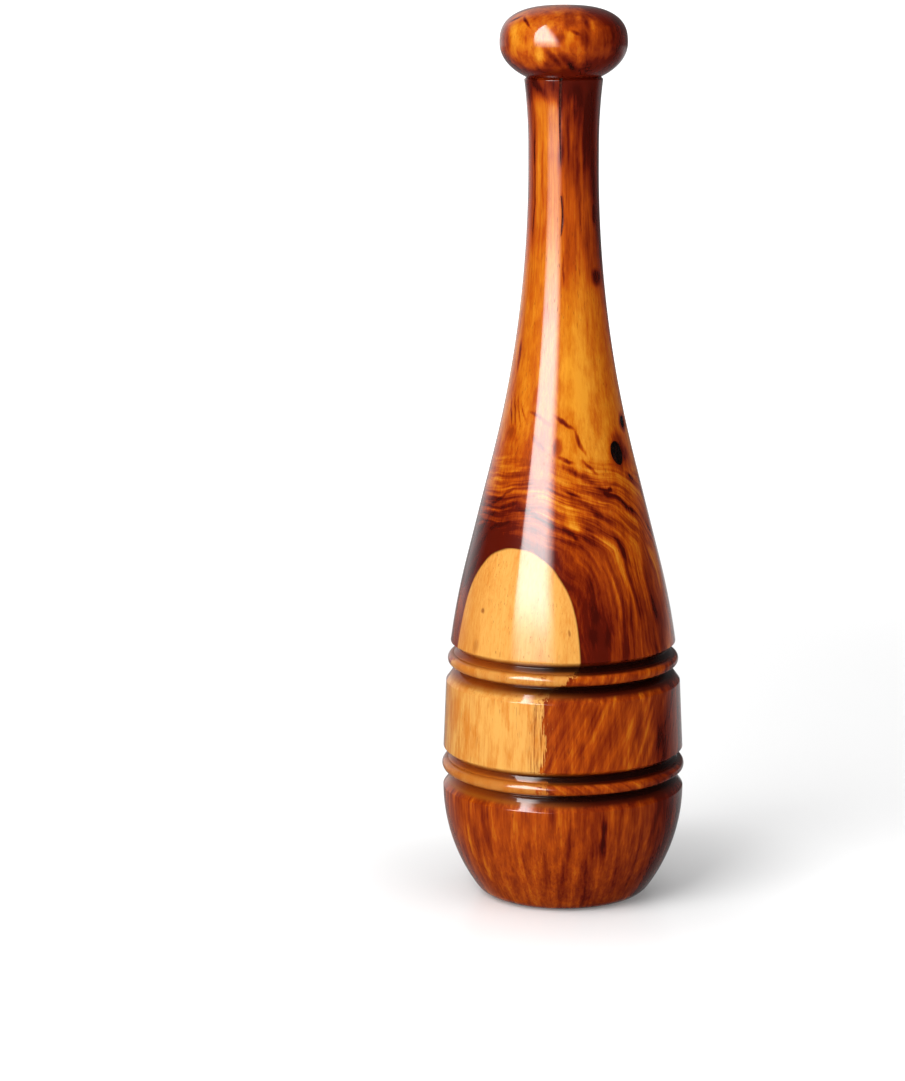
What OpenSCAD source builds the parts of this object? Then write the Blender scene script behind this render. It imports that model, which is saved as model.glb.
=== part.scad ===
// Turned hardwood swinging club that stands on a flat foot. The body is one
// turning: foot, base, two beads between V grooves, band, belly and neck. The
// knob is a second turning, held by a glued dowel and a screw from its crown.
// The axis is Z, the foot lies on Z = 0, and the front faces -Y.

/* [Overall] */
// Height from the foot to the crown of the knob
club_h = 385.5; // [380:0.5:400]

/* [Base] */
// Radius of the base at its shoulder, its widest place
shoulder_r = 52.5; // [51:0.1:54]
// Height of the shoulder above the foot
base_h = 48.3; // [46:0.1:50]
// Radius of the side curve from the shoulder down towards the foot
base_curve_r = 76; // [72:1:84]
// Radius of the rounding between that curve and the flat foot
foot_round_r = 10; // [4:0.5:12]

/* [Beads and grooves] */
// Height of one bead with its two grooves
group_h = 17.4; // [17:0.1:19]
// Radius of the half-round section of a bead
bead_r = 2.7; // [2.3:0.1:2.8]
// Drop from the edge above a bead to the middle of the bead
bead_drop = 7.8; // [7.6:0.1:8.2]
// Radius of the club over the crest of the lower bead
low_crest_r = 52.9; // [52.4:0.1:53.4]
// Radius of the club over the crest of the upper bead
high_crest_r = 50.2; // [49.8:0.1:50.6]
// Width of the chamfer below each bead
chamfer_w = 2.4; // [1.8:0.1:2.8]
// Height of that chamfer
chamfer_h = 3.2; // [2.6:0.1:3.4]
// Depth of the V groove above a bead
groove_depth = 3.4; // [2.4:0.1:4]

/* [Band] */
// Radius of the band at its lower edge
band_low_r = 52.3; // [51.8:0.1:52.8]
// Radius of the band at its upper edge
band_high_r = 51; // [50.6:0.1:51.6]
// Height of the band
band_h = 29.4; // [26:0.1:32]

/* [Belly and neck] */
// Radius of the convex belly curve above the beads
belly_r = 325; // [280:5:360]
// Lean of the side where the belly meets the groove, in degrees
edge_deg = 7.8; // [7:0.1:8.6]
// Lean of the straight side between belly and neck, in degrees
taper_deg = 14.15; // [13.8:0.05:14.3]
// Radius of the long hollow sweep into the neck
sweep_r = 509; // [500:1:515]
// Radius of the neck where it is thinnest
neck_r = 15; // [14.5:0.1:16]
// Height of the top of the long sweep
neck_z = 318.4; // [317:0.1:320]
// Radius of the short flare below the knob
flare_r = 228; // [200:2:260]
// Length of that flare
flare_len = 28; // [20:1:30]
// Size of the small chamfer at the top of the neck
lip_chamfer = 0.9; // [0.5:0.1:1.2]

/* [Knob] */
// Radius of the knob at its widest
knob_r = 27.1; // [26.5:0.1:29]
// Height of the knob's upper half
knob_up_h = 15.9; // [15:0.1:17]
// Semi-height of the ellipse of the knob's lower half
knob_low_h = 17.5; // [16.5:0.1:18.5]
// Squareness of the upper half: 2 is an ellipse, more is flatter on top
knob_power = 2.6; // [2:0.1:3]

/* [Dowel and screw] */
// Diameter of the dowel between neck and knob
dowel_d = 14; // [12:0.5:15]
// Length of the dowel inside the neck
dowel_low_len = 40; // [30:1:45]
// Length of the dowel inside the knob
dowel_high_len = 20; // [15:0.5:20]
// Number of glue flutes along the dowel
flute_count = 10; // [6:1:12]
// Diameter of the recess in the crown of the knob
recess_d = 6.8; // [6.6:0.1:7.2]
// Depth of that recess down to the rim of the screw head
recess_h = 4.6; // [3.8:0.1:5]
// Diameter of the screw head
head_d = 6.4; // [6:0.1:6.5]
// Diameter of the screw over its thread
screw_d = 3.5; // [3:0.1:3.6]
// Length of the screw
screw_len = 32; // [28:1:36]

/* [Knots and checks] */
// Height of the large dead knot
knot_z = 197.5; // [190:0.5:205]
// Bearing of the large dead knot from the front, in degrees
knot_deg = 51; // [30:1:80]
// Width and height of the large dead knot
knot_size = [7.6, 10.4]; // [5:0.1:12]
// Height of the small dead knot
small_knot_z = 209.5; // [206:0.5:214]
// Bearing of the small dead knot from the front, in degrees
small_knot_deg = 71; // [65:1:90]
// Width and height of the small dead knot
small_knot_size = [5, 5.4]; // [4:0.1:8]
// Depth of the pockets that hold the knots
knot_depth = 5; // [3:0.5:6]
// Width of the drying checks in the neck
check_w = 0.9; // [0.7:0.1:1.2]
// Depth of the drying checks
check_depth = 2.5; // [2:0.1:3]
// Bearing of the checks from the front, in degrees
check_deg = -4; // [-20:1:20]

/* [Hidden] */
$fn = 96;

// Heights of the turned features
band_low_z = base_h + group_h;
band_high_z = band_low_z + band_h;
edge_z = band_high_z + group_h;
knob_mid_z = club_h - knob_up_h;

// Side of the belly: where the curves meet, and the radius at the lower edge
sweep_end_r = neck_r + sweep_r * (1 - cos(taper_deg));
sweep_end_z = neck_z - sweep_r * sin(taper_deg);
belly_end_z = edge_z + belly_r * (sin(taper_deg) - sin(edge_deg));
belly_end_r = sweep_end_r + (sweep_end_z - belly_end_z) * tan(taper_deg);
edge_r = belly_end_r + belly_r * (cos(edge_deg) - cos(taper_deg));

// Foot: the rounding touches the side curve inside and the ground below
side_x = shoulder_r - base_curve_r;
foot_dx = sqrt(pow(base_curve_r - foot_round_r, 2) - pow(base_h - foot_round_r, 2));
foot_flat_r = side_x + foot_dx;
foot_deg = -atan2(base_h - foot_round_r, foot_dx);

// Seat between neck and knob: the knob's lower ellipse is cut off flat there
lip_r = neck_r + flare_r * (1 - cos(asin(flare_len / flare_r)));
seat_r = lip_r - lip_chamfer;
seat_z = knob_mid_z - knob_low_h * sqrt(1 - pow(seat_r / knob_r, 2));
lip_z = seat_z - lip_chamfer;
flare_z = lip_z - flare_len;

// Screw and its hole through the crown
glue_gap = 0.5;
dowel_chamfer = 1.2;
flute_r = 0.6;
clear_r = screw_d / 2 + 0.15;
head_rim_h = 0.3;
head_top_z = club_h - recess_h;
head_cone_z = head_top_z - head_rim_h;
neck_of_head_z = head_cone_z - (head_d - screw_d) / 2;
thread_pitch = 1.6;
thread_depth = 0.45;
thread_len = 20;
tip_len = 4;

// Points of an arc about (x, z), both ends included
function arc(x, z, r, from, to, n) =
    [for (i = [0:n]) let (a = from + (to - from) * i / n) [x + r * cos(a), z + r * sin(a)]];

// Everything after the first point of an outline
function rest(points) = [for (i = [1:len(points) - 1]) points[i]];

// Chamfer, V groove, bead and V groove, from a lower corner up to the edge above
function bead_group(z, low_r, crest_r, high_r) =
    let (mid_z = z + group_h - bead_drop, core_r = crest_r - bead_r)
    concat([[low_r, z],
            [low_r - chamfer_w, z + chamfer_h],
            [core_r - groove_depth / 2, mid_z - bead_r - groove_depth / 3]],
           arc(core_r, mid_z, bead_r, -90, 90, 14),
           [[high_r - groove_depth, z + group_h - groove_depth * 0.85],
            [high_r, z + group_h]]);

// Outline of the body on its right side, from the foot up to the neck
body_side = concat(
    arc(foot_flat_r, foot_round_r, foot_round_r, -90, foot_deg, 8),
    rest(arc(side_x, base_h, base_curve_r, foot_deg, 0, 12)),
    rest(bead_group(base_h, shoulder_r, low_crest_r, band_low_r)),
    bead_group(band_high_z, band_high_r, high_crest_r, edge_r),
    rest(arc(belly_end_r - belly_r * cos(taper_deg), belly_end_z - belly_r * sin(taper_deg),
             belly_r, edge_deg, taper_deg, 10)),
    arc(neck_r + sweep_r, neck_z, sweep_r, 180 + taper_deg, 180, 20),
    arc(neck_r + flare_r, flare_z, flare_r, 180, 180 - asin(flare_len / flare_r), 8));

// Point of the knob's upper half, from its crown (0) to its widest place (90)
function crown(a) = [knob_r * pow(sin(a), 2 / knob_power),
                     knob_mid_z + knob_up_h * pow(cos(a), 2 / knob_power)];

// Point of the knob's lower half, from its widest place (0) down to the seat
function underside(a) = [knob_r * cos(a), knob_mid_z - knob_low_h * sin(a)];

// Places a cutter that points along +Z so that it enters the club from a bearing
module enter_at(bearing, z) {
    rotate([0, 0, bearing]) translate([0, 0, z]) rotate([90, 0, 0]) children();
}

// The turned body before any hole is cut in it
module body_blank() {
    rotate_extrude() polygon(concat([[0, 0]], body_side, [[seat_r, seat_z], [0, seat_z]]));
}

// Oval plug of a dead knot, from its inner face outwards through the surface
module knot_plug(bearing, z, size, surface_r, lean) {
    enter_at(bearing, z) translate([0, 0, surface_r - knot_depth]) rotate([0, 0, lean])
        linear_extrude(2 * knot_depth)
            polygon([for (a = [0:15:345]) [size[0] / 2 * cos(a), size[1] / 2 * sin(a)]]);
}

// Radius of the body on the hollow sweep at a height
function sweep_radius(z) = neck_r + sweep_r - sqrt(pow(sweep_r, 2) - pow(neck_z - z, 2));

module large_plug() {
    knot_plug(knot_deg, knot_z, knot_size, sweep_radius(knot_z), 16);
}

module small_plug() {
    knot_plug(small_knot_deg, small_knot_z, small_knot_size, sweep_radius(small_knot_z), 10);
}

// Blade that fills one drying check, pointed below and bowed a little sideways
module check_blade(low_z, high_z, low_w, high_w, bow) {
    n = 8;
    function middle(t) = bow * sin(180 * t);
    function half(t) = (low_w + (high_w - low_w) * t) / 2 * sin(90 * min(1, 0.15 + 2 * t));
    function height(t) = low_z + (high_z - low_z) * t;
    enter_at(check_deg, 0) translate([0, 0, neck_r - check_depth])
        linear_extrude(3 * check_depth)
            polygon(concat([for (i = [0:n]) let (t = i / n) [middle(t) + half(t), height(t)]],
                           [for (i = [n:-1:0]) let (t = i / n) [middle(t) - half(t), height(t)]]));
}

module check_blades() {
    check_blade(seat_z - 37, seat_z + 1, check_w * 0.6, check_w * 1.2, -0.5);
    check_blade(seat_z - 66, seat_z - 49, check_w, check_w * 0.5, 0.7);
}

module club_body() {
    color("#b4611c")
        difference() {
            body_blank();
            translate([0, 0, seat_z - dowel_low_len - glue_gap])
                cylinder(d = dowel_d, h = dowel_low_len + glue_gap + 1);
            large_plug();
            small_plug();
            check_blades();
        }
}

module knob() {
    steps = 20;
    seat_deg = acos(seat_r / knob_r);
    color("#a8481a")
        difference() {
            rotate_extrude()
                polygon(concat([[0, seat_z]],
                               [for (i = [steps:-1:0]) underside(seat_deg * i / steps)],
                               [for (i = [steps - 1:-1:0]) crown(90 * i / steps)]));
            translate([0, 0, seat_z - 1])
                cylinder(d = dowel_d, h = dowel_high_len + glue_gap + 1);
            cylinder(r = clear_r, h = club_h);
            translate([0, 0, neck_of_head_z])
                cylinder(r1 = screw_d / 2, r2 = recess_d / 2, h = (recess_d - screw_d) / 2);
            translate([0, 0, neck_of_head_z + (recess_d - screw_d) / 2])
                cylinder(d = recess_d, h = recess_h + 1);
        }
}

module knob_dowel() {
    length = dowel_low_len + dowel_high_len;
    low_z = seat_z - dowel_low_len;
    r = dowel_d / 2;
    color("#d9b98a")
        difference() {
            translate([0, 0, low_z])
                rotate_extrude()
                    polygon([[0, 0], [r - dowel_chamfer, 0], [r, dowel_chamfer],
                             [r, length - dowel_chamfer], [r - dowel_chamfer, length], [0, length]]);
            for (i = [0:flute_count - 1])
                rotate([0, 0, 360 * i / flute_count])
                    translate([r, 0, low_z - 1])
                        cylinder(r = flute_r, h = length + 2);
            translate([0, 0, head_top_z - screw_len])
                cylinder(d = screw_d, h = screw_len);
        }
}

module knob_screw() {
    r = screw_d / 2;
    core_r = r - thread_depth;
    tip_z = head_top_z - screw_len;
    turns = floor(thread_len / thread_pitch);
    thread_z = tip_z + tip_len;
    color("#b9bcc0")
        difference() {
            rotate_extrude()
                polygon(concat(
                    [[0, tip_z], [core_r, thread_z - thread_pitch / 2]],
                    [for (i = [0:turns - 1], p = [[core_r, 0], [r, 0.35], [r, 0.55], [core_r, 0.9]])
                        [p[0], thread_z + (i + p[1]) * thread_pitch]],
                    [[r, thread_z + (turns + 0.4) * thread_pitch], [r, neck_of_head_z],
                     [head_d / 2, head_cone_z], [head_d / 2, head_top_z], [0, head_top_z]]));
            for (turn = [0, 90])
                rotate([0, 0, turn + 20])
                    translate([-head_d * 0.3, -0.45, head_top_z - 1.4])
                        cube([head_d * 0.6, 0.9, 2]);
        }
}

module large_knot() {
    color("#1c0f0a") intersection() { body_blank(); large_plug(); }
}

module small_knot() {
    color("#1c0f0a") intersection() { body_blank(); small_plug(); }
}

module check_fills() {
    color("#2a120a") intersection() { body_blank(); check_blades(); }
}

club_body();
knob();
knob_dowel();
knob_screw();
large_knot();
small_knot();
check_fills();
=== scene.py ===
import math

import bmesh
import bpy
from mathutils import Matrix, Vector, noise


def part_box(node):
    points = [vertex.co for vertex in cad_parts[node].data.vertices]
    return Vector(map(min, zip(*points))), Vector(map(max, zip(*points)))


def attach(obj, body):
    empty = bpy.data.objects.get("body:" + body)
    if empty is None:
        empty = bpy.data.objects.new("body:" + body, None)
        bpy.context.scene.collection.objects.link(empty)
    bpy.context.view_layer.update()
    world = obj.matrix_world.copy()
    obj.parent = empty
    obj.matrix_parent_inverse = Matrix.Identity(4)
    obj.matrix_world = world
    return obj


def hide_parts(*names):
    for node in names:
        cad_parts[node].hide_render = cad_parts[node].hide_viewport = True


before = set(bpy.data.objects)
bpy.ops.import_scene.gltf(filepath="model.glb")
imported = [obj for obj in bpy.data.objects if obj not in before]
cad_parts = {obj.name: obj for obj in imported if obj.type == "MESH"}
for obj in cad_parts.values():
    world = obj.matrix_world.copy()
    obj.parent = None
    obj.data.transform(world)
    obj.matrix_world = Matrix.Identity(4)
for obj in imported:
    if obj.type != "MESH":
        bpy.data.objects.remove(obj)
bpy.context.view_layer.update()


# Studio: a white lacquered table that runs out of sight under a camera on a stand a little
# above the club. One tall soft window of light stands front left, a pale room lies behind the
# club, and the side of the room that faces it is dim.
MM = 0.001


class Socket:
    """One output of a shader node, which can be reckoned with like a number."""

    def __init__(self, tree, socket=None):
        self.tree = tree
        self.socket = socket

    def add(self, kind, settings=None, inputs=None, output=0):
        """Adds a node: its settings first, then the values or links of its sockets."""
        node = self.tree.nodes.new(kind)
        for name, value in (settings or {}).items():
            if name == "stops":
                ramp = node.color_ramp.elements
                while len(ramp) < len(value):
                    ramp.new(0.5)
                for stop, (place, colour) in zip(ramp, value):
                    stop.position = place
                    stop.color = (*colour, 1)
            else:
                setattr(node, name, value)
        for key, value in (inputs or {}).items():
            if isinstance(value, Socket):
                self.tree.links.new(value.socket, node.inputs[key])
            else:
                node.inputs[key].default_value = value
        return Socket(self.tree, node.outputs[output])

    def math(self, operation, *others):
        return self.add("ShaderNodeMath", {"operation": operation}, dict(enumerate((self, *others))))

    def relief(self, strength, depth):
        """Lets the surface rise and fall with this value, by a depth in mm."""
        inputs = {"Strength": strength, "Distance": depth * MM, "Height": self}
        return self.add("ShaderNodeBump", {}, inputs)

    def __add__(self, other):
        return self.math("ADD", other)

    __radd__ = __add__

    def __sub__(self, other):
        return self.math("SUBTRACT", other)

    def __rsub__(self, other):
        return self.add("ShaderNodeMath", {"operation": "SUBTRACT"}, {0: other, 1: self})

    def __mul__(self, other):
        return self.math("MULTIPLY", other)

    __rmul__ = __mul__

    def __truediv__(self, other):
        return self.math("DIVIDE", other)

    def __neg__(self):
        return self * -1

    def __abs__(self):
        return self.math("ABSOLUTE")

    def __pow__(self, other):
        return self.math("POWER", other)


def rise(value, low, high):
    """0 below low, 1 above high and a smooth step between; low above high gives a fall."""
    return value.add("ShaderNodeMapRange", {"interpolation_type": "SMOOTHSTEP"},
                     {"Value": value, "From Min": low, "From Max": high})


def blend(amount, first, second):
    """The first colour, gone over to the second by an amount."""
    settings = {"data_type": "RGBA", "clamp_factor": True}
    inputs = {0: amount}
    for key, colour in ((6, first), (7, second)):
        inputs[key] = colour if isinstance(colour, Socket) else (*colour, 1)
    return amount.add("ShaderNodeMix", settings, inputs, 2)


def new_finish(name):
    """A new material: gives it, its shader, and a socket to start its other nodes from."""
    finish = bpy.data.materials.new(name)
    finish.use_nodes = True
    shader = finish.node_tree.nodes["Principled BSDF"]
    return finish, shader, Socket(finish.node_tree)


def connect(shader, **links):
    """Sets or links sockets of a shader, named with _ for each space."""
    for key, value in links.items():
        target = shader.inputs[key.replace("_", " ")]
        if isinstance(value, Socket):
            value.tree.links.new(value.socket, target)
        else:
            target.default_value = value


def add_object(name, data):
    thing = bpy.data.objects.new(name, data)
    bpy.context.scene.collection.objects.link(thing)
    return thing


camera_back, camera_up = 1.38646, 0.41081
tilt_down, yaw, roll = 0.18154, 0.03458, -0.00496
camera = add_object("camera", bpy.data.cameras.new("camera"))
camera.data.sensor_width = 36
camera.data.lens = 108.23
camera.data.clip_end = 200
camera.matrix_world = (Matrix.Translation((0, -camera_back, camera_up)) @ Matrix.Rotation(yaw, 4, "Z")
                       @ Matrix.Rotation(math.pi / 2 - tilt_down, 4, "X") @ Matrix.Rotation(roll, 4, "Z"))
bpy.context.scene.camera = camera
bpy.context.scene.view_settings.view_transform = "Standard"

world = bpy.data.worlds.new("studio room")
world.use_nodes = True
bpy.context.scene.world = world
room = Socket(world.node_tree)
room_paint = world.node_tree.nodes["Background"]
towards = room.add("ShaderNodeTexCoord", output=0)
room_across = towards.add("ShaderNodeSeparateXYZ", {}, {0: towards}, 0)
room_back = towards.add("ShaderNodeSeparateXYZ", {}, {0: towards}, 1)
room_up = towards.add("ShaderNodeSeparateXYZ", {}, {0: towards}, 2)
seen_directly = room.add("ShaderNodeLightPath", output=0)
backdrop_white, room_dim = 1.2, 0.02
above_table = rise(room_up, -0.14, -0.05)
left_glow = 0.24 + 0.5 * above_table
right_glow = (0.44 - 0.35 * above_table) * (0.35 + 0.65 * rise(room_up, -0.36, -0.18))
room_left = rise(room_across, 0.15, -0.4)
room_glow = room_dim + rise(room_back, 0.35, 0.95) * (
    left_glow * room_left + right_glow * (1 - room_left))
room_light = seen_directly * backdrop_white + (1 - seen_directly) * room_glow
room.tree.links.new(room_light.socket, room_paint.inputs["Strength"])
room_paint.inputs["Color"].default_value = (1, 1, 1, 1)


club_middle = 0.2


def add_lamp(name, bearing, height_deg, distance, width, height, power, in_gloss=True):
    """A soft rectangle of light that looks at the club from a bearing and an elevation."""
    lamp = add_object(name, bpy.data.lights.new(name, "AREA"))
    lamp.data.shape = "RECTANGLE"
    lamp.data.size = width
    lamp.data.size_y = height
    lamp.data.energy = power
    turn, lift = math.radians(bearing), math.radians(height_deg)
    way = Vector((math.sin(turn) * math.cos(lift), -math.cos(turn) * math.cos(lift), math.sin(lift)))
    lamp.location = Vector((0, 0, club_middle)) + way * distance
    lamp.rotation_euler = way.to_track_quat("Z", "Y").to_euler()
    lamp.visible_camera = False
    lamp.visible_glossy = in_gloss
    return lamp


window_h, window_sill = 4.0, 0.01
window = add_lamp("window", -28, 0, 1.7, 1.7, window_h, 317)
window.location.z = window_sill + window_h / 2
window.data.use_nodes = True
glass = Socket(window.data.node_tree)
glass_place = glass.add("ShaderNodeNewGeometry", output=5)
glass_up = glass_place.add("ShaderNodeSeparateXYZ", {}, {0: glass_place}, 1)
glass_across = 1 - glass_place.add("ShaderNodeSeparateXYZ", {}, {0: glass_place}, 0) - glass_up
glass_edge = rise(glass_across, -0.02, 0.3) * rise(glass_across, 1.02, 0.7)
glass_glow = glass_edge * (0.13 + 0.14 * rise(glass_up, 0.0, 0.06)
                           + 0.73 * rise(glass_up, 0.06, 0.135))
glass.tree.links.new(glass_glow.socket, window.data.node_tree.nodes["Emission"].inputs["Strength"])
window.visible_diffuse = False
add_lamp("window_spill", -39, 32, 2.0, 1.3, 2.2, 62, in_gloss=False)
add_lamp("overhead", 0, 88, 2.6, 3.5, 3.5, 60, in_gloss=False)
add_lamp("right_fill", 50, 25, 2.6, 2.5, 2.0, 26, in_gloss=False)

table_mesh = bmesh.new()
bmesh.ops.create_grid(table_mesh, x_segments=24, y_segments=24, size=40)
table = add_object("table", bpy.data.meshes.new("table"))
table_mesh.to_mesh(table.data)
table_mesh.free()
table_paint, paint_shader, paint = new_finish("white_lacquer")
paint_place = paint.add("ShaderNodeTexCoord", output=3)
paint_haze = paint.add("ShaderNodeTexNoise", {}, {"Vector": paint_place, "Scale": 3.0})
far_off = paint_place.add("ShaderNodeVectorMath", {"operation": "LENGTH"}, {0: paint_place}, 1)
# Painted light: the table glows though it is no lamp. The glow is weaker within about 0.15 m of the club,
# a painted shadow there, and grows brighter far off.
table_glow_painted_shadow = blend(rise(far_off, 0.05, 0.15), (0.13, 0.13, 0.13), (0.33, 0.33, 0.33))
table_glow_painted_shadow = blend(rise(far_off, 0.3, 1.8), table_glow_painted_shadow, (1.1, 1.1, 1.1))
connect(paint_shader, Base_Color=(0.76, 0.76, 0.76, 1), Roughness=0.16 + 0.04 * paint_haze,
        Emission_Color=table_glow_painted_shadow, Emission_Strength=1.0)
table.data.materials.append(table_paint)
table.visible_glossy = False


# Club body: one turning of figured hardwood, foot to neck, with a pale streak of sapwood in a
# red-brown heart. It has two beads between cut V grooves, a band between them, and a clear
# lacquer over all. Its top is bored for the dowel that holds the knob.
seat_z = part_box("knob")[0][2] / MM
body_step, body_sides = 1.7, 192

shoulder_r, base_h, base_curve_r, foot_round_r = 52.5, 48.3, 76, 10
group_h, bead_r, bead_drop = 17.4, 2.7, 7.8
chamfer_w, chamfer_h, groove_depth = 2.4, 3.2, 3.4
band_low_r, band_high_r, band_h = 52.3, 51, 29.4
low_crest_r, high_crest_r = 52.9, 50.2
belly_r, edge_deg, taper_deg = 325, 7.8, 14.15
sweep_r, neck_r, neck_z = 509, 15, 318.4
flare_r, flare_len, lip_chamfer = 228, 28, 0.9
bore_r, bore_depth = 7, 40.5

band_low_z = base_h + group_h
band_high_z = band_low_z + band_h
edge_z = band_high_z + group_h


def sin_deg(angle):
    """Sine of an angle in degrees."""
    return math.sin(math.radians(angle))


def cos_deg(angle):
    """Cosine of an angle in degrees."""
    return math.cos(math.radians(angle))


def arc(x, z, r, start, end, steps, ease=0):
    """Points of an arc as (radius, height, easing of that corner)."""
    turns = [start + (end - start) * i / steps for i in range(steps + 1)]
    return [(x + r * cos_deg(a), z + r * sin_deg(a), ease) for a in turns]


def bead_group(z, low_r, crest_r, high_r):
    """Chamfer, V groove, half-round bead and V groove, up to the arris above."""
    mid_z = z + group_h - bead_drop
    core_r = crest_r - bead_r
    bead = arc(core_r, mid_z, bead_r, -90, 90, 18)
    bead[0] = (*bead[0][:2], 0.3)
    bead[-1] = (*bead[-1][:2], 0.3)
    return [(low_r, z, 0.55),
            (low_r - chamfer_w, z + chamfer_h, 0.3),
            (core_r - groove_depth / 2, mid_z - bead_r - groove_depth / 3, 0.3),
            *bead,
            (high_r - groove_depth, z + group_h - groove_depth * 0.85, 0.35),
            (high_r, z + group_h, 0.55)]


def eased(corners, steps=6):
    """Rounds off the corners of an outline that have an easing."""
    outline = []
    last = len(corners) - 1
    for i, (x, z, ease) in enumerate(corners):
        here = Vector((x, z))
        if not ease or i in (0, last):
            outline.append(here)
            continue
        back = Vector(corners[i - 1][:2]) - here
        ahead = Vector(corners[i + 1][:2]) - here
        turn = math.pi - back.angle(ahead)
        reach = min(ease * math.tan(turn / 2) + 0.02, 0.48 * back.length, 0.48 * ahead.length)
        start = here + back.normalized() * reach
        end = here + ahead.normalized() * reach
        for step in range(steps + 1):
            t = step / steps
            outline.append(start * (1 - t) ** 2 + here * 2 * t * (1 - t) + end * t ** 2)
    return outline


def spaced(outline, step):
    """Puts more points in the long stretches of an outline."""
    points = [outline[0]]
    for here, there in zip(outline, outline[1:]):
        pieces = max(1, math.ceil((there - here).length / step))
        points += [here.lerp(there, (i + 1) / pieces) for i in range(pieces)]
    return points


def turned(name, outline, sides):
    """A closed solid turned from an outline that starts and ends on the axis, or joins up."""
    shape = bmesh.new()
    on_axis = outline[0].x < 1e-6
    rings = []
    for point in outline:
        if point.x < 1e-6:
            rings.append([shape.verts.new((0, 0, point.y * MM))])
            continue
        ring = []
        for side in range(sides):
            turn = 2 * math.pi * side / sides
            ring.append(shape.verts.new((point.x * MM * math.sin(turn), -point.x * MM * math.cos(turn),
                                         point.y * MM)))
        rings.append(ring)
    pairs = list(zip(rings, rings[1:]))
    if not on_axis:
        pairs.append((rings[-1], rings[0]))
    for low, high in pairs:
        for side in range(sides):
            after = (side + 1) % sides
            corners = [low[side % len(low)], low[after % len(low)],
                       high[after % len(high)], high[side % len(high)]]
            shape.faces.new(list(dict.fromkeys(corners)))
    return finished(name, shape)


def finished(name, shape):
    """Makes an object of a shape, with its faces turned outwards."""
    bmesh.ops.recalc_face_normals(shape, faces=shape.faces)
    mesh = bpy.data.meshes.new(name)
    shape.to_mesh(mesh)
    shape.free()
    return add_object(name, mesh)


def skin_over(shape, loops):
    """Joins loops of points one to the next, with a flat face at both ends."""
    for low, high in zip(loops, loops[1:]):
        for i in range(len(low)):
            j = (i + 1) % len(low)
            shape.faces.new((low[i], low[j], high[j], high[i]))
    shape.faces.new(loops[0])
    shape.faces.new(loops[-1])


def smoothed(piece, sharp_deg=34):
    """Shades a piece smooth, with creases only where faces turn by more than an angle."""
    piece.data.shade_smooth()
    piece.data.set_sharp_from_angle(angle=math.radians(sharp_deg))


sweep_end_r = neck_r + sweep_r * (1 - cos_deg(taper_deg))
sweep_end_z = neck_z - sweep_r * sin_deg(taper_deg)
belly_end_z = edge_z + belly_r * (sin_deg(taper_deg) - sin_deg(edge_deg))
belly_end_r = sweep_end_r + (sweep_end_z - belly_end_z) * math.tan(math.radians(taper_deg))
edge_r = belly_end_r + belly_r * (cos_deg(edge_deg) - cos_deg(taper_deg))
side_x = shoulder_r - base_curve_r
foot_dx = math.sqrt((base_curve_r - foot_round_r) ** 2 - (base_h - foot_round_r) ** 2)
foot_flat_r = side_x + foot_dx
foot_deg = -math.degrees(math.atan2(base_h - foot_round_r, foot_dx))
flare_z = seat_z - lip_chamfer - flare_len
flare_deg = math.degrees(math.asin(flare_len / flare_r))
lip_r = neck_r + flare_r * (1 - cos_deg(flare_deg))
seat_r = lip_r - lip_chamfer

belly_x = belly_end_r - belly_r * cos_deg(taper_deg)
belly_z = belly_end_z - belly_r * sin_deg(taper_deg)
body_corners = (
    [(0, 0, 0)]
    + arc(foot_flat_r, foot_round_r, foot_round_r, -90, foot_deg, 14)
    + arc(side_x, base_h, base_curve_r, foot_deg, 0, 30)[1:-1]
    + bead_group(base_h, shoulder_r, low_crest_r, band_low_r)
    + bead_group(band_high_z, band_high_r, high_crest_r, edge_r)
    + arc(belly_x, belly_z, belly_r, edge_deg, taper_deg, 24)[1:]
    + arc(neck_r + sweep_r, neck_z, sweep_r, 180 + taper_deg, 180, 72)
    + arc(neck_r + flare_r, flare_z, flare_r, 180, 180 - flare_deg, 18)
)
body_corners[-1] = (*body_corners[-1][:2], 0.25)
body_corners += [(seat_r, seat_z, 0.2), (bore_r, seat_z, 0.2), (bore_r, seat_z - bore_depth, 0),
                 (0, seat_z - bore_depth, 0)]
club = turned("turned_club", spaced(eased(body_corners), body_step), body_sides)


def sweep_radius(z):
    """Radius of the club on its long hollow sweep."""
    if z >= neck_z:
        return neck_r + flare_r - math.sqrt(flare_r ** 2 - max(0, z - flare_z) ** 2)
    return neck_r + sweep_r - math.sqrt(sweep_r ** 2 - (neck_z - z) ** 2)


def on_bearing(bearing, depth, across, z):
    """A point at a depth from the axis, to the right of a bearing, at a height, in metres."""
    turn = math.radians(bearing)
    x = depth * math.sin(turn) + across * math.cos(turn)
    y = -depth * math.cos(turn) + across * math.sin(turn)
    return Vector((x, y, z)) * MM


def oval(size, lean, part, turn):
    """A point of an oval that leans to the left, at a part of its size."""
    u = size[0] / 2 * part * math.cos(turn)
    v = size[1] / 2 * part * math.sin(turn)
    tip = math.radians(lean)
    return u * math.cos(tip) - v * math.sin(tip), u * math.sin(tip) + v * math.cos(tip)


def prism(name, loop, bearing, z, inner, outer):
    """A straight-sided cutter with the outline loop, from an inner to an outer depth."""
    shape = bmesh.new()
    floors = [[shape.verts.new(on_bearing(bearing, depth, u, z + v)) for u, v in loop]
              for depth in (inner, outer)]
    skin_over(shape, floors)
    return finished(name, shape)


def check_half_width(t, low_w, high_w):
    """Half the width of a drying check at a part t of its height; it is pointed below."""
    return (low_w + (high_w - low_w) * t) / 2 * sin_deg(90 * min(1, 0.15 + 2 * t))


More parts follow.
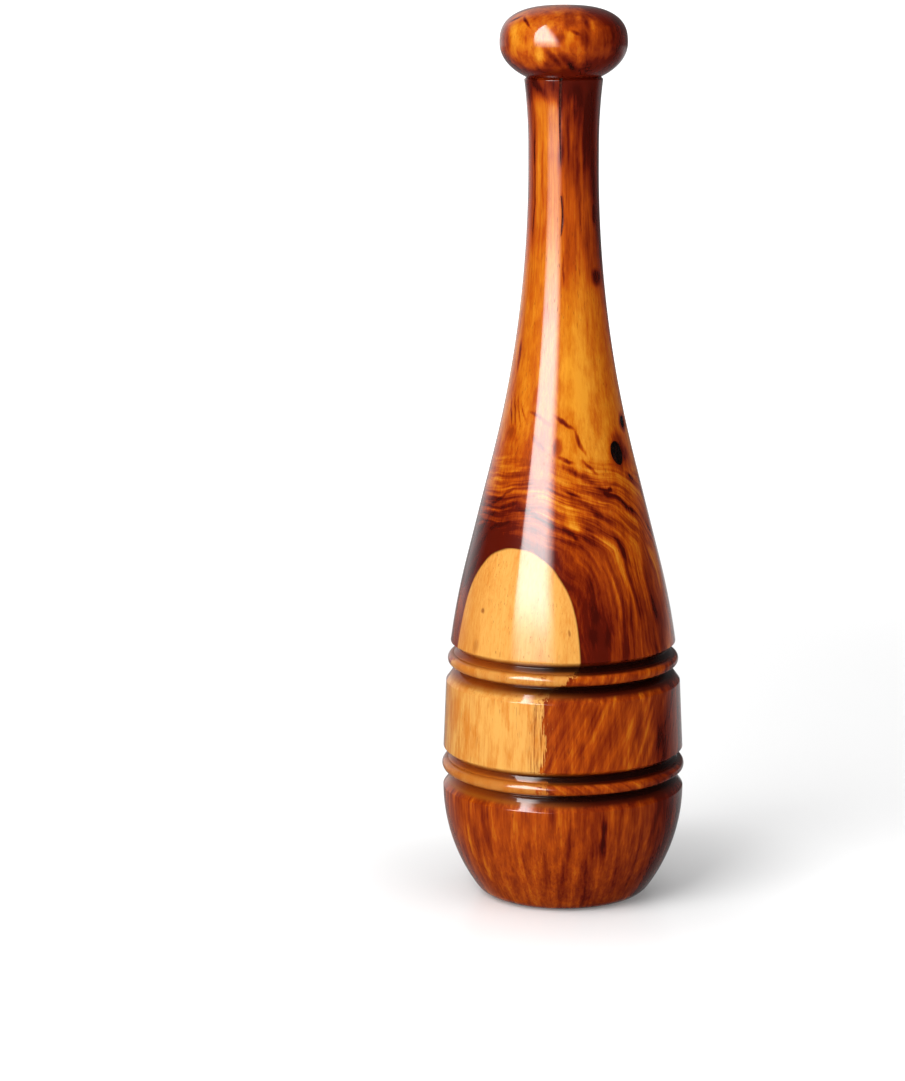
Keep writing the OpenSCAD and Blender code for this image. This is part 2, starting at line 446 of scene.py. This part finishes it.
knots = [("knot_large", "large_knot", 51, 197.5, (7.6, 10.4), 16),
         ("knot_small", "small_knot", 71, 209.5, (5, 5.4), 10)]
knot_depth = 5
check_deg, check_depth, check_w = -4, 2.5, 0.9
checks = [(seat_z - 37, seat_z + 1, check_w * 0.6, check_w * 1.2, -0.5),
          (seat_z - 66, seat_z - 49, check_w, check_w * 0.5, 0.7)]

pocket_sides, check_steps = 48, 24

cutters = []
for name, node, at, mid_z, size, lean in knots:
    loop = [oval(size, lean, 1, 2 * math.pi * i / pocket_sides) for i in range(pocket_sides)]
    skin = sweep_radius(mid_z)
    cutters.append(prism(name + "_cutter", loop, at, mid_z, skin - knot_depth, skin + knot_depth))
for low_z, high_z, low_w, high_w, bow in checks:
    left, right = [], []
    for i in range(check_steps + 1):
        t = i / check_steps
        middle, half = bow * sin_deg(180 * t), check_half_width(t, low_w, high_w)
        height = low_z + (high_z - low_z) * t
        left.append((middle - half, height))
        right.append((middle + half, height))
    cutters.append(prism("check_cutter", right + left[::-1], check_deg, 0,
                         neck_r - check_depth, neck_r + 2 * check_depth))
for cutter in cutters:
    pocket = club.modifiers.new("pocket", "BOOLEAN")
    pocket.operation = "DIFFERENCE"
    pocket.solver = "EXACT"
    pocket.object = cutter
depsgraph = bpy.context.evaluated_depsgraph_get()
cut_mesh = bpy.data.meshes.new_from_object(club.evaluated_get(depsgraph))
club.modifiers.clear()
club.data = cut_mesh
for cutter in cutters:
    bpy.data.objects.remove(cutter)
smoothed(club)


class Grain:
    """Places on a turned piece of wood: bearing in degrees, height in mm, and noise.

    The side is the bearing too, but it falls back to 0 behind, so that no seam shows there.
    """

    def __init__(self, start):
        self.place = start.add("ShaderNodeTexCoord", output=3)
        self.x = self.place.add("ShaderNodeSeparateXYZ", {}, {0: self.place}, 0)
        self.y = self.place.add("ShaderNodeSeparateXYZ", {}, {0: self.place}, 1)
        self.z = self.place.add("ShaderNodeSeparateXYZ", {}, {0: self.place}, 2) / MM
        self.bearing = self.x.math("ARCTAN2", -self.y) * (180 / math.pi)
        self.side = self.bearing * rise(abs(self.bearing), 176, 105)

    def noise(self, across, along, detail=3, rough=0.55, shift=0.0, kind="Fac"):
        """Noise whose grains are across mm wide and along mm long up the club."""
        scaled = self.place.add("ShaderNodeVectorMath", {"operation": "MULTIPLY_ADD"}, {
            0: self.place, 1: (1 / (across * MM), 1 / (across * MM), 1 / (along * MM)),
            2: (shift, shift * 0.7, shift * 1.3)})
        return self.texture(scaled, detail, rough, kind)

    def lines(self, across, up, deep, detail, rough):
        """Noise at a place of its own, made of three values."""
        place = self.z.add("ShaderNodeCombineXYZ", {}, {0: across, 1: up, 2: deep})
        return self.texture(place, detail, rough)

    def texture(self, place, detail, rough, kind="Fac"):
        inputs = {"Vector": place, "Scale": 1.0, "Detail": detail, "Roughness": rough}
        return place.add("ShaderNodeTexNoise", {}, inputs, 1 if kind == "Color" else 0)

    def chart(self, coarse, fine):
        """Half the bearing and the height in mm: two values whose lines wander a little."""
        place = [self.bearing * 0.5, self.z]
        for across, along, reach, shift in ((14, 22, coarse, 3.1), (3, 9, fine, 8.7)):
            drift = self.noise(across, along, 2, 0.5, shift, "Color")
            for axis in (0, 1):
                part = drift.add("ShaderNodeSeparateXYZ", {}, {0: drift}, axis)
                place[axis] = place[axis] + (part - 0.5) * reach
        return place


def spot(chart, bearing, z, half_bearing, half_z, lean=0, core=0):
    """Gives a function that lays a soft oval mark on the chart; lean turns it to the left.

    The mark is laid only when it is wanted, so that few values wait at a time in the shader.
    """
    def laid():
        away = 0
        for turn, half in ((lean, half_bearing * 0.5), (lean + 90, half_z)):
            step_x, step_y = cos_deg(turn) / half, sin_deg(turn) / half
            start = -bearing * 0.5 * step_x - z * step_y
            out = chart[0].math("MULTIPLY_ADD", step_x, chart[1].math("MULTIPLY_ADD", step_y, start))
            away = out.math("MULTIPLY_ADD", out, away)
        return rise(away.math("SQRT"), 1.0, core)
    return laid


def stroke(chart, start, end, half_width, core=0):
    """A thin mark from one (bearing, height) to another, pointed at both ends."""
    du, dz = (end[0] - start[0]) * 0.5, end[1] - start[1]
    length = math.hypot(du, dz)
    return spot(chart, (start[0] + end[0]) / 2, (start[1] + end[1]) / 2, length, half_width,
                math.degrees(math.atan2(dz, du)), core)


def strongest(marks):
    """The strongest of several marks, each with its strength, laid one after another."""
    total = None
    for mark, strength in marks:
        weighed = (mark() if callable(mark) else mark) * strength
        total = weighed if total is None else total.math("MAXIMUM", weighed)
    return total


heart_stops = [(0.0, (0.52, 0.20, 0.013)), (0.2, (0.41, 0.108, 0.0035)), (0.38, (0.30, 0.046, 0.0012)),
               (0.58, (0.17, 0.018, 0.0008)), (0.78, (0.085, 0.0048, 0.0006)),
               (0.92, (0.03, 0.0015, 0.0004)), (1.0, (0.004, 0.0008, 0.0006))]
sap_pale = (0.56, 0.28, 0.062)
sap_tan = (0.46, 0.155, 0.019)

body_wood, body_shader, start = new_finish("figured_hardwood")
grain = Grain(start)
chart = grain.chart(4.5, 1.5)
z, bearing, side = grain.z, grain.bearing, grain.side
broad = grain.noise(7, 110, 4, 0.6, 1.7)
fine = grain.noise(1.1, 34, 4, 0.65, 5.2)
fibre = grain.noise(0.35, 14, 2, 0.6, 9.4)
cloud = grain.noise(22, 60, 3, 0.5, 12.3)
mottle = grain.noise(5, 16, 4, 0.6, 15.9)

drift_b = (grain.noise(20, 34, 1.6, 0.45, 21.0) - 0.5) * 10
drift_z = (grain.noise(15, 14, 1.6, 0.45, 27.0) - 0.5) * 5
wander = grain.noise(13, 30, 1.6, 0.5, 33.0) - 0.5
lean = side - (z - 80) * 0.5 * rise(z, 56, 64)
lean_lines = grain.lines(lean * 0.26, z * 0.035, grain.y * 30, 4.0, 0.62)


def arch_field(middle, power, drift):
    """1 on the edge of the pale arch and growing outwards, in nested arches."""
    out = abs((bearing + drift_b * drift - middle).math("WRAP", 180, -180)) / 38.5
    up = (z + drift_z * drift - 113) / 45.5
    height = up.math("MAXIMUM", 0.0).math("MINIMUM", 1.0) + (up - 1).math("MAXIMUM", 0.0) * 3.1
    return (out ** power + height ** power) ** (1 / power)


low = rise(z, 113, 108)
arch = arch_field(-30 - 17 * rise(z, 112, 94) + (mottle - 0.5) * low * 16, 2.35, 0.35)
flecks = ((fine - 0.5) * 0.3 + (fibre - 0.5) * 0.2) * low
sap = rise(arch + flecks, 1.015, 0.985) * rise(z, 50, 60)
outer = arch_field(-36, 1.9, 0.5) + (grain.noise(26, 44, 1.4, 0.4, 36.0) - 0.5) * 0.8
outer_lines = grain.lines(outer * 7.5, side * 0.02, z * 0.014, 3.2, 0.55)
hair_lines = grain.lines(outer * 30, side * 0.03, z * 0.025 + 7, 2.0, 0.6)
in_arches = rise(z + wander * 30, 199, 183)
near_arch = rise(outer, 1.75, 1.3)
arch_depth = (0.52 + 0.24 * near_arch + 0.16 * rise(z, 155, 125) * rise(side, 5, 20)
              + 0.2 * rise(side, -28, -46) * rise(outer, 2.2, 1.5) * rise(z, 132, 148)
              + 0.2 * rise(side, -24, -38) * rise(z, 184, 176) * rise(z, 140, 156)
              - 0.12 * rise(outer, 2.1, 2.6) - 0.2 * rise(side, -62, -76) * rise(z, 145, 130)
              + (outer_lines - 0.5) * (1.75 - 0.75 * near_arch) + (hair_lines - 0.5) * 0.12)
band_depth = (0.49 + 0.24 * rise(lean, 44, 60) - 0.02 * rise(side, 10, 32) * rise(z, 62, 68)
              + 0.1 * rise(z, 60, 50) - 0.12 * rise(z, 60, 50) * rise(side, 14, -6)
              + (mottle - 0.5) * 0.45 + (lean_lines - 0.5) * 1.0)
arch_depth = arch_depth * (1 - low) + band_depth * low
right_dark = rise(side + wander * 40, 24, 62) * (0.16 + 0.27 * rise(z, 250, 300))
left_dark = rise(side, -44, -62) * 0.4 * rise(z, 270, 310)
behind = rise(abs(bearing), 88, 120) * 0.12
# Painted shade: the darkening at the top of the neck, from z 342 up, stands for the shadow under the
# knob.
upper_depth = (0.24 + right_dark + left_dark + behind
               + 0.34 * rise(z, 292, 335) * rise(side, -12, 14)
               + 0.36 * rise(z, 342, 354)
               + 0.16 * rise(z, 215, 190) * rise(side, 12, -30)
               + 0.17 * rise(z, 262, 285) * rise(side, -12, 8)
               - 0.12 * rise(z, 250, 225) * rise(side, -10, 5)
               + (mottle - 0.5) * 0.42)
streaks = (broad - 0.5) * (0.5 + 0.35 * rise(z, 230, 300)) + (fine - 0.5) * 0.42 + (fibre - 0.5) * 0.16
depth = (arch_depth * in_arches + upper_depth * (1 - in_arches) + streaks).math("MINIMUM", 0.84)

worn = 0.72 + 0.5 * rise(mottle, 0.36, 0.6)
dark_marks = strongest([
    # pits and short streaks in the legs, right of the pale arch
    (spot(chart, 18, 146, 4, 7), 0.16),
    (spot(chart, 17, 133, 3.6, 8), 0.16),
    (spot(chart, 15, 123, 3.5, 7), 0.13),
    (spot(chart, 23, 124, 3.2, 8), 0.13),
    (spot(chart, 30, 130, 2.5, 8, core=0.1), 0.14),
    (spot(chart, 40, 131, 2, 17, core=0.1), 0.14),
    (spot(chart, 47, 130, 3, 17, core=0.1), 0.14),
    (spot(chart, 58, 131, 2, 16, core=0.1), 0.14),
    # long dark sweeps over the belly, down to the right
    (stroke(chart, (-9, 196), (26, 186), 2.2), 0.4),
    (stroke(chart, (8, 190), (50, 178), 2.2), 0.45),
    (stroke(chart, (34, 184), (70, 166), 2.0), 0.42),
    (stroke(chart, (52, 176), (74, 150), 1.8), 0.35),
    (spot(chart, 18, 167, 9, 9, lean=30), 0.3),
    (stroke(chart, (-9, 187), (22, 176), 1.7), 0.36),
    (stroke(chart, (10, 181), (40, 165), 1.7), 0.34),
    (stroke(chart, (-8, 172), (18, 158), 1.8), 0.3),
    (stroke(chart, (30, 170), (48, 146), 1.8), 0.3),
    (spot(chart, 37, 183, 3, 1.8, core=0.35), 0.5),
    # a branching crack above the belly, and the stain beside it
    (stroke(chart, (-12, 215), (12, 208), 1.5, core=0.2), 0.5),
    (stroke(chart, (8, 210), (21, 195), 1.4, core=0.2), 0.42),
    (spot(chart, -5, 202, 6, 5, core=0.35), 0.5),
    (stroke(chart, (-10, 200), (12, 193), 1.3, core=0.2), 0.45),
    (stroke(chart, (10, 197), (30, 188), 1.1, core=0.2), 0.35),
    # woven lines on the left, low on the sweep
    (stroke(chart, (-66, 224), (-52, 205), 0.9), 0.34),
    (stroke(chart, (-59, 225), (-46, 204), 0.9), 0.38),
    (stroke(chart, (-52, 223), (-41, 206), 0.8), 0.34),
    (stroke(chart, (-46, 220), (-36, 208), 0.8), 0.32),
    (spot(chart, -50, 205, 18, 5), 0.22),
    (stroke(chart, (-40, 216), (-8, 210), 1.4), 0.36),
    (stroke(chart, (-34, 207), (-8, 198), 1.6), 0.24),
    # a fan of dark lines, left of the pale arch
    (stroke(chart, (-84, 142), (-54, 166), 1.8), 0.26),
    (stroke(chart, (-60, 164), (-26, 174), 1.6), 0.26),
    (stroke(chart, (-84, 154), (-52, 174), 1.6), 0.26),
    (stroke(chart, (-58, 172), (-22, 181), 1.6), 0.26),
    (stroke(chart, (-82, 132), (-60, 156), 1.6), 0.24),
    (stroke(chart, (-36, 177), (0, 168), 1.8, core=0.2), 0.3),
    (stroke(chart, (-70, 172), (-30, 186), 1.2, core=0.2), 0.25),
    # two stray flaws, left and right
    (spot(chart, -60, 238, 4, 9, core=0.35), 0.35),
    (spot(chart, 55, 272, 17, 5, core=0.35), 0.35),
    # stained wood round the knots
    (spot(chart, 54, 198, 20, 12, core=0.1), 0.55),
    (stroke(chart, (52, 194), (72, 180), 2.6), 0.5),
    (spot(chart, 72, 209.5, 12, 5, core=0.35), 0.5),
    # streaks and patches on the neck
    (spot(chart, -54, 312, 3.2, 34, core=0.35), 0.4),
    (stroke(chart, (-58, 356), (-20, 345), 4.5), 0.4),
    (spot(chart, -12, 351, 12, 8), 0.26),
    (spot(chart, 18, 343, 18, 14), 0.18),
    (spot(chart, 22, 318, 9, 22), 0.18),
    (spot(chart, 36, 326, 6, 28), 0.2),
    (spot(chart, 8, 328, 3.6, 22), 0.2),
    (spot(chart, -36, 320, 2.4, 26, core=0.1), 0.16),
    (spot(chart, 27, 296, 4, 18, core=0.1), 0.22),
    (spot(chart, 46, 338, 16, 20), 0.16),
    (spot(chart, 54, 312, 9, 26), 0.12),
    (spot(chart, 55, 298, 7, 6, core=0.35), 0.4),
    # stained wood beside the checks
    (spot(chart, -2.5, 298, 3.2, 12, core=0.35), 0.3),
    (spot(chart, 0, 275, 2.4, 9, core=0.35), 0.25),
    (spot(chart, -5, 338, 5, 24), 0.3),
    (stroke(chart, (-6, 360), (-4, 332), 4.5), 0.4),
    (stroke(chart, (-4, 342), (-5, 312), 4.0), 0.36),
    # base and band
    (spot(chart, 20, 38, 2.5, 14, core=0.35), 0.25),
    (spot(chart, 53, 80, 8, 20), 0.12),
]) * worn
pale_marks = strongest([
    (spot(chart, 4, 172, 8, 9, lean=12), 0.32),
    (spot(chart, 14, 236, 30, 34, core=0.3), 0.1),
    (spot(chart, 10, 106, 6, 3, core=0.35), 0.2),
    (spot(chart, 13, 336, 6, 18), 0.24),
    (spot(chart, 30, 322, 5, 24), 0.14),
    (spot(chart, 66, 326, 7, 28), 0.16),
])
depth = depth + dark_marks - pale_marks


def in_grooves(up):
    """1 deep in both V grooves of a bead group, from the height above its foot."""
    low_groove = rise(up, 0.2, 5.2) * rise(up, 8.6, 6.2)
    return low_groove.math("MAXIMUM", rise(up, 11.0, 13.2) * rise(up, group_h, group_h - 2.8))


def on_bead(up):
    """1 on the bead of a bead group, from the height above its foot."""
    return rise(up, 5.8, 7.0) * rise(up, 13.6, 12.4)


groove = in_grooves(z - base_h).math("MAXIMUM", in_grooves(z - band_high_z))
# The sapwood is made darker on the beads, less so on the upper bead.
darker_on_beads = on_bead(z - base_h).math("MAXIMUM", on_bead(z - band_high_z))
depth = depth.math("MAXIMUM", 0.0).math("MINIMUM", 0.9)
heart = depth.add("ShaderNodeValToRGB", {"stops": heart_stops}, {0: depth})

sap_tone = ((fine - 0.5) * 1.1 + (broad - 0.5) * 0.9 + (fibre - 0.5) * 0.5
            + (mottle - 0.5) * low * 2.4 + 0.4 + 0.25 * rise(side, -38, -60))
sap_wood = blend(rise(sap_tone, 0.1, 1.0), sap_pale, sap_tan)
join_flecks = rise(abs(bearing + 12 + wander * 16), 6, 1) * low * rise(fine, 0.45, 0.62)
sap_marks = strongest([
    (spot(chart, -49, 131, 1.6, 1.6, core=0.35), 0.7),
    (spot(chart, -50, 116, 3, 4, core=0.35), 0.3),
    (spot(chart, 3, 125, 0.9, 2.2, core=0.35), 0.6),
    (join_flecks, 0.75),
])
sap_clouds = strongest([
    (spot(chart, -68, 84, 12, 16), 0.4),
    (spot(chart, -40, 72, 8, 12), 0.3),
    (spot(chart, -48, 92, 9, 10), 0.25),
    (spot(chart, -14, 84, 8, 16), 0.3),
    (spot(chart, -60, 120, 14, 12), 0.2),
    (spot(chart, -4, 112, 8, 10), 0.2),
])
sap_wood = blend(sap_clouds * rise(broad + fine, 0.7, 1.2), sap_wood, (0.36, 0.085, 0.006))
sap_wood = blend(sap_marks, sap_wood, (0.14, 0.02, 0.003))
wood = blend(sap, heart, sap_wood)
# Painted shade in the V grooves: darker deep in them, and darker still towards the right, away from the
# window.
groove_painted_shade = blend(0.55 + 0.45 * rise(side, -30, 20), (0.40, 0.105, 0.006), (0.045, 0.0036, 0.0006))
wood = blend(rise(groove, 0.0, 0.55) * (0.75 + 0.25 * (1 - sap)), wood, groove_painted_shade)
deepest_painted_shade = blend(rise(side, -50, -5), (0.17, 0.028, 0.0018), (0.008, 0.0012, 0.0006))
wood = blend(rise(groove, 0.45, 1.0) * 0.95, wood, deepest_painted_shade)
wood = blend(darker_on_beads * (0.75 - 0.35 * rise(z, 70, 100)) * sap, wood, (0.31, 0.075, 0.006))

pore_cells = grain.noise(0.55, 5, 1, 0.5, 31.0)
pores = rise(pore_cells, 0.665, 0.73) * rise(cloud, 0.3, 0.6)
wood = blend(pores * 0.5, wood, (0.05, 0.005, 0.001))

grain_relief = ((fine - 0.5) * 0.5 + (fibre - 0.5) * 0.35 - pores * 0.8).relief(0.25, 0.1)
connect(body_shader, Base_Color=wood, Roughness=0.3 + 0.15 * fine + 0.2 * pores, Normal=grain_relief,
        Coat_Weight=(1 - 0.35 * pores) * (1 - 0.4 * groove), Coat_Roughness=0.075, Coat_IOR=1.5,
        Specular_IOR_Level=0.03)
club.data.materials.clear()
club.data.materials.append(body_wood)
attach(club, "root")
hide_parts("club_body")


# Dead knots: two old branch stubs, black and hard, that the turning cut through on the right.
# They are part of the timber: each has shrunk a hair below the wood round it, with a hollow
# pith and fine rays of cracks.
knot_wood, knot_shader, start = new_finish("dead_knot")
grain = Grain(start)
bark = grain.noise(1.2, 1.2, 5, 0.7, 2.2)
rot = grain.noise(0.4, 0.4, 3, 0.6, 7.7)
knot_tone = rise(bark + (rot - 0.5) * 0.4, 0.5, 0.75)
knot_colour = blend(knot_tone, (0.0015, 0.0008, 0.0008), (0.03, 0.004, 0.0015))
knot_relief = (bark + rot * 0.5).relief(0.5, 0.3)
connect(knot_shader, Base_Color=knot_colour, Roughness=0.42 + 0.25 * rot, Normal=knot_relief,
        Coat_Weight=0.5 * (1 - knot_tone), Coat_Roughness=0.1, Specular_IOR_Level=0.08)

knot_sides, knot_rings, knot_fit, floor_gap = 72, 22, 0.995, 0.02
shrunk, rim_dip, pith_depth, ray_depth = 0.14, 0.25, 0.5, 0.88
for name, node, at, mid_z, size, lean in knots:
    shape = bmesh.new()
    layers = []
    for ring in range(knot_rings + 1):
        part = knot_fit * (1 - ring / (knot_rings + 1))
        row = []
        for i in range(knot_sides):
            turn = 2 * math.pi * i / knot_sides
            u, v = oval(size, lean, part, turn)
            ray = abs(math.sin(2.5 * turn + 1.3 * math.sin(turn * 3 + at))) ** 14
            pith = max(0, 1 - part / 0.3) ** 1.5
            rough = (noise.noise(Vector((u * 0.9, v * 0.9, at))) * 0.16
                     + noise.noise(Vector((u * 2.6, v * 2.6, at))) * 0.07)
            sink = (shrunk + rim_dip * part ** 12 + pith_depth * pith
                    + ray_depth * ray * part * (1 - part))
            skin = sweep_radius(mid_z + v) - sink + rough * (1 - part ** 8)
            row.append(shape.verts.new(on_bearing(at, math.sqrt(skin ** 2 - u ** 2), u, mid_z + v)))
        layers.append(row)
    knot_floor = []
    for i in range(knot_sides):
        u, v = oval(size, lean, knot_fit, 2 * math.pi * i / knot_sides)
        inner = sweep_radius(mid_z) - knot_depth + floor_gap
        knot_floor.append(shape.verts.new(on_bearing(at, inner, u, mid_z + v)))
    skin_over(shape, [knot_floor] + layers)
    knot = finished(name, shape)
    smoothed(knot, sharp_deg=50)
    knot.data.materials.append(knot_wood)
    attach(knot, "root")
    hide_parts(node)


# Check fills: two drying checks that run down the neck below the knob, packed with dark
# filler when the club was finished. The filler has sunk a little and dried rough.
filler, filler_shader, start = new_finish("dark_filler")
grain = Grain(start)
crumb = grain.noise(0.5, 0.9, 4, 0.7, 4.4)
filler_colour = blend(rise(crumb, 0.35, 0.7), (0.012, 0.0014, 0.0008), (0.085, 0.009, 0.0018))
filler_relief = crumb.relief(0.6, 0.3)
connect(filler_shader, Base_Color=filler_colour, Roughness=0.45 + 0.3 * crumb, Normal=filler_relief,
        Coat_Weight=0.3 * crumb, Coat_Roughness=0.15, Specular_IOR_Level=0.05)

fill_steps, fill_across, fill_part, fill_gap = 64, 6, 0.985, 0.05
fill_sunk, fill_hollow, fill_rough, lip_gap = 0.1, 0.12, 0.05, 0.1
shape = bmesh.new()
for low_z, high_z, low_w, high_w, bow in checks:
    foot, top = low_z + fill_gap, min(high_z, seat_z - lip_chamfer - lip_gap)
    inner = neck_r - check_depth + floor_gap
    rows = []
    for i in range(fill_steps + 1):
        up = foot + (top - foot) * i / fill_steps
        t = (up - low_z) / (high_z - low_z)
        middle, half = bow * sin_deg(180 * t), check_half_width(t, low_w, high_w) * fill_part
        row = [shape.verts.new(on_bearing(check_deg, inner, middle - half, up))]
        for k in range(fill_across + 1):
            part = 2 * k / fill_across - 1
            u = middle + half * part
            crumbs = noise.noise(Vector((u * 3, up * 1.1, 2.5)))
            sag = fill_sunk + fill_hollow * (1 - part ** 2) + fill_rough * crumbs
            skin = sweep_radius(up) - sag
            row.append(shape.verts.new(on_bearing(check_deg, math.sqrt(skin ** 2 - u ** 2), u, up)))
        row.append(shape.verts.new(on_bearing(check_deg, inner, middle + half, up)))
        rows.append(row)
    skin_over(shape, rows)
check_filler = finished("check_filler", shape)
smoothed(check_filler, sharp_deg=50)
check_filler.data.materials.append(filler)
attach(check_filler, "root")
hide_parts("check_fills")


# Dowel: a fluted peg of plain pale beech, glued into the neck and the knob. It can't be seen
# once the club is together.
peg_wood, peg_shader, start = new_finish("dowel_wood")
grain = Grain(start)
peg_grain = grain.noise(0.9, 18, 4, 0.6, 3.3)
peg_flecks = rise(grain.noise(0.35, 1.6, 2, 0.5, 6.1), 0.62, 0.7)
peg_colour = blend(rise(peg_grain, 0.3, 0.7), (0.62, 0.40, 0.20), (0.48, 0.27, 0.12))
peg_colour = blend(peg_flecks * 0.5, peg_colour, (0.28, 0.13, 0.05))
connect(peg_shader, Base_Color=peg_colour, Roughness=0.6 + 0.2 * peg_grain,
        Normal=peg_grain.relief(0.4, 0.2))
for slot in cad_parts["knob_dowel"].material_slots:
    slot.material = peg_wood


# Screw: a plated steel wood screw with a countersunk head, driven down through the crown of
# the knob into the dowel. Its head lies at the bottom of a small recess.
steel, steel_shader, start = new_finish("screw_steel")
grain = Grain(start)
wear = grain.noise(1.5, 1.5, 4, 0.6, 1.1)
steel_colour = blend(rise(wear, 0.4, 0.7), (0.42, 0.42, 0.43), (0.22, 0.19, 0.16))
connect(steel_shader, Base_Color=steel_colour, Metallic=1.0, Roughness=0.28 + 0.3 * wear,
        Normal=wear.relief(0.2, 0.1))
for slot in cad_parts["knob_screw"].material_slots:
    slot.material = steel


# Knob: a second turning of redder hardwood, a flattened ball with its grain up the club. It
# sits flat on the neck, and its crown has the recess for the screw.
club_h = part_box("knob")[1][2] / MM
knob_r, knob_up_h, knob_low_h, knob_power = 27.1, 15.9, 17.5, 2.6
knob_mid_z = club_h - knob_up_h
recess_r, recess_h, clear_r, mortise_h = 3.4, 4.6, 1.9, 20.5
seat_turn = math.degrees(math.acos(seat_r / knob_r))
screw_r = 1.75
head_r, head_drop = 3.2, 0.3
head_low_z = club_h - recess_h - head_drop - (head_r - screw_r)
ball_steps, crown_steps = 44, 60
knob_step, knob_sides = 1.3, 192

knob_corners = [(clear_r, seat_z + mortise_h, 0), (bore_r, seat_z + mortise_h, 0), (bore_r, seat_z, 0.2)]
for i in range(ball_steps + 1):
    a = seat_turn * (1 - i / ball_steps)
    ease = 0.2 if i == 0 else 0
    knob_corners.append((knob_r * cos_deg(a), knob_mid_z - knob_low_h * sin_deg(a), ease))
for i in range(1, crown_steps + 1):
    a = 90 - 90 * i / crown_steps
    r = knob_r * sin_deg(a) ** (2 / knob_power)
    if r < recess_r + 0.8:
        break
    knob_corners.append((r, knob_mid_z + knob_up_h * cos_deg(a) ** (2 / knob_power), 0))
rim_angle = math.degrees(math.asin((recess_r / knob_r) ** (knob_power / 2)))
knob_corners += [(recess_r, knob_mid_z + knob_up_h * cos_deg(rim_angle) ** (2 / knob_power), 0.35),
                 (recess_r, head_low_z + recess_r - screw_r, 0.1),
                 (clear_r, head_low_z + 0.15, 0.1)]
knob = turned("turned_knob", spaced(eased(knob_corners), knob_step), knob_sides)
smoothed(knob)

knob_wood, knob_shader, start = new_finish("red_hardwood")
grain = Grain(start)
chart = grain.chart(2.6, 0.8)
z, bearing, side = grain.z, grain.bearing, grain.side
broad = grain.noise(6, 24, 4, 0.6, 41.7)
fine = grain.noise(1.2, 12, 4, 0.65, 45.2)
fibre = grain.noise(0.35, 8, 2, 0.6, 49.4)
swirl = grain.noise(9, 9, 5, 0.6, 52.0)
vein_field = grain.noise(10, 15, 2.5, 0.5, 57.0)
veins = rise(abs(vein_field - 0.5), 0.022, 0.0) * rise(swirl, 0.35, 0.6)
# Painted shade: the two terms that darken the knob below z 367, most towards the neck, stand for the
# shadow under the knob.
depth = (0.26 + 0.1 * rise(side, -30, 10) + 0.17 * rise(side, 14, 42) + 0.35 * rise(side, 30, 56)
         + 0.22 * rise(side, -56, -76) + 0.34 * rise(z, 367, 359) + 0.35 * rise(z, 360.5, 357)
         + 0.16 * rise(z, 376, 383) + (broad - 0.5) * 0.95 + (swirl - 0.5) * 0.7
         + (fine - 0.5) * 0.26 + (fibre - 0.5) * 0.12).math("MINIMUM", 0.8)
dark_marks = strongest([
    (stroke(chart, (-72, 378), (-48, 382), 1.0, core=0.2), 0.5),
    (stroke(chart, (-52, 382), (-28, 376), 1.0, core=0.2), 0.5),
    (spot(chart, -4, 372, 6, 3.5, core=0.1), 0.3),
    (spot(chart, 18, 372, 8, 6, lean=20, core=0.1), 0.35),
    (spot(chart, 66, 378, 14, 8), 0.12),
    (spot(chart, -60, 371, 6, 6, core=0.1), 0.3),
    (stroke(chart, (-26, 373), (4, 357), 2.0), 0.3),
    (stroke(chart, (-10, 369), (16, 357), 2.4), 0.26),
    (spot(chart, 2, 378, 5, 6), 0.25),
    (spot(chart, 22, 378, 6, 7), 0.3),
    (stroke(chart, (0, 376), (26, 371), 1.2, core=0.2), 0.3),
    (spot(chart, 54, 370, 14, 12), 0.12),
    (veins, 0.1),
])
pale_marks = strongest([
    (spot(chart, -23, 364, 8, 6, core=0.1), 0.3),
    (spot(chart, -46, 373, 15, 9, core=0.1), 0.12),
    (spot(chart, 6, 373, 5, 4, core=0.1), 0.2),
])
depth = depth + dark_marks - pale_marks
depth = depth.math("MAXIMUM", 0.0).math("MINIMUM", 1.0)
wood = depth.add("ShaderNodeValToRGB", {"stops": heart_stops}, {0: depth})
pores = rise(grain.noise(0.5, 2.5, 1, 0.5, 61.0), 0.67, 0.73)
wood = blend(pores * 0.5, wood, (0.05, 0.005, 0.001))
grain_relief = ((fine - 0.5) * 0.5 + (fibre - 0.5) * 0.3 - pores * 0.8).relief(0.25, 0.1)
connect(knob_shader, Base_Color=wood, Roughness=0.3 + 0.15 * fine + 0.2 * pores, Normal=grain_relief,
        Coat_Weight=1 - 0.3 * pores, Coat_Roughness=0.06, Coat_IOR=1.5, Specular_IOR_Level=0.03)
knob.data.materials.append(knob_wood)
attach(knob, "root")
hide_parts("knob")
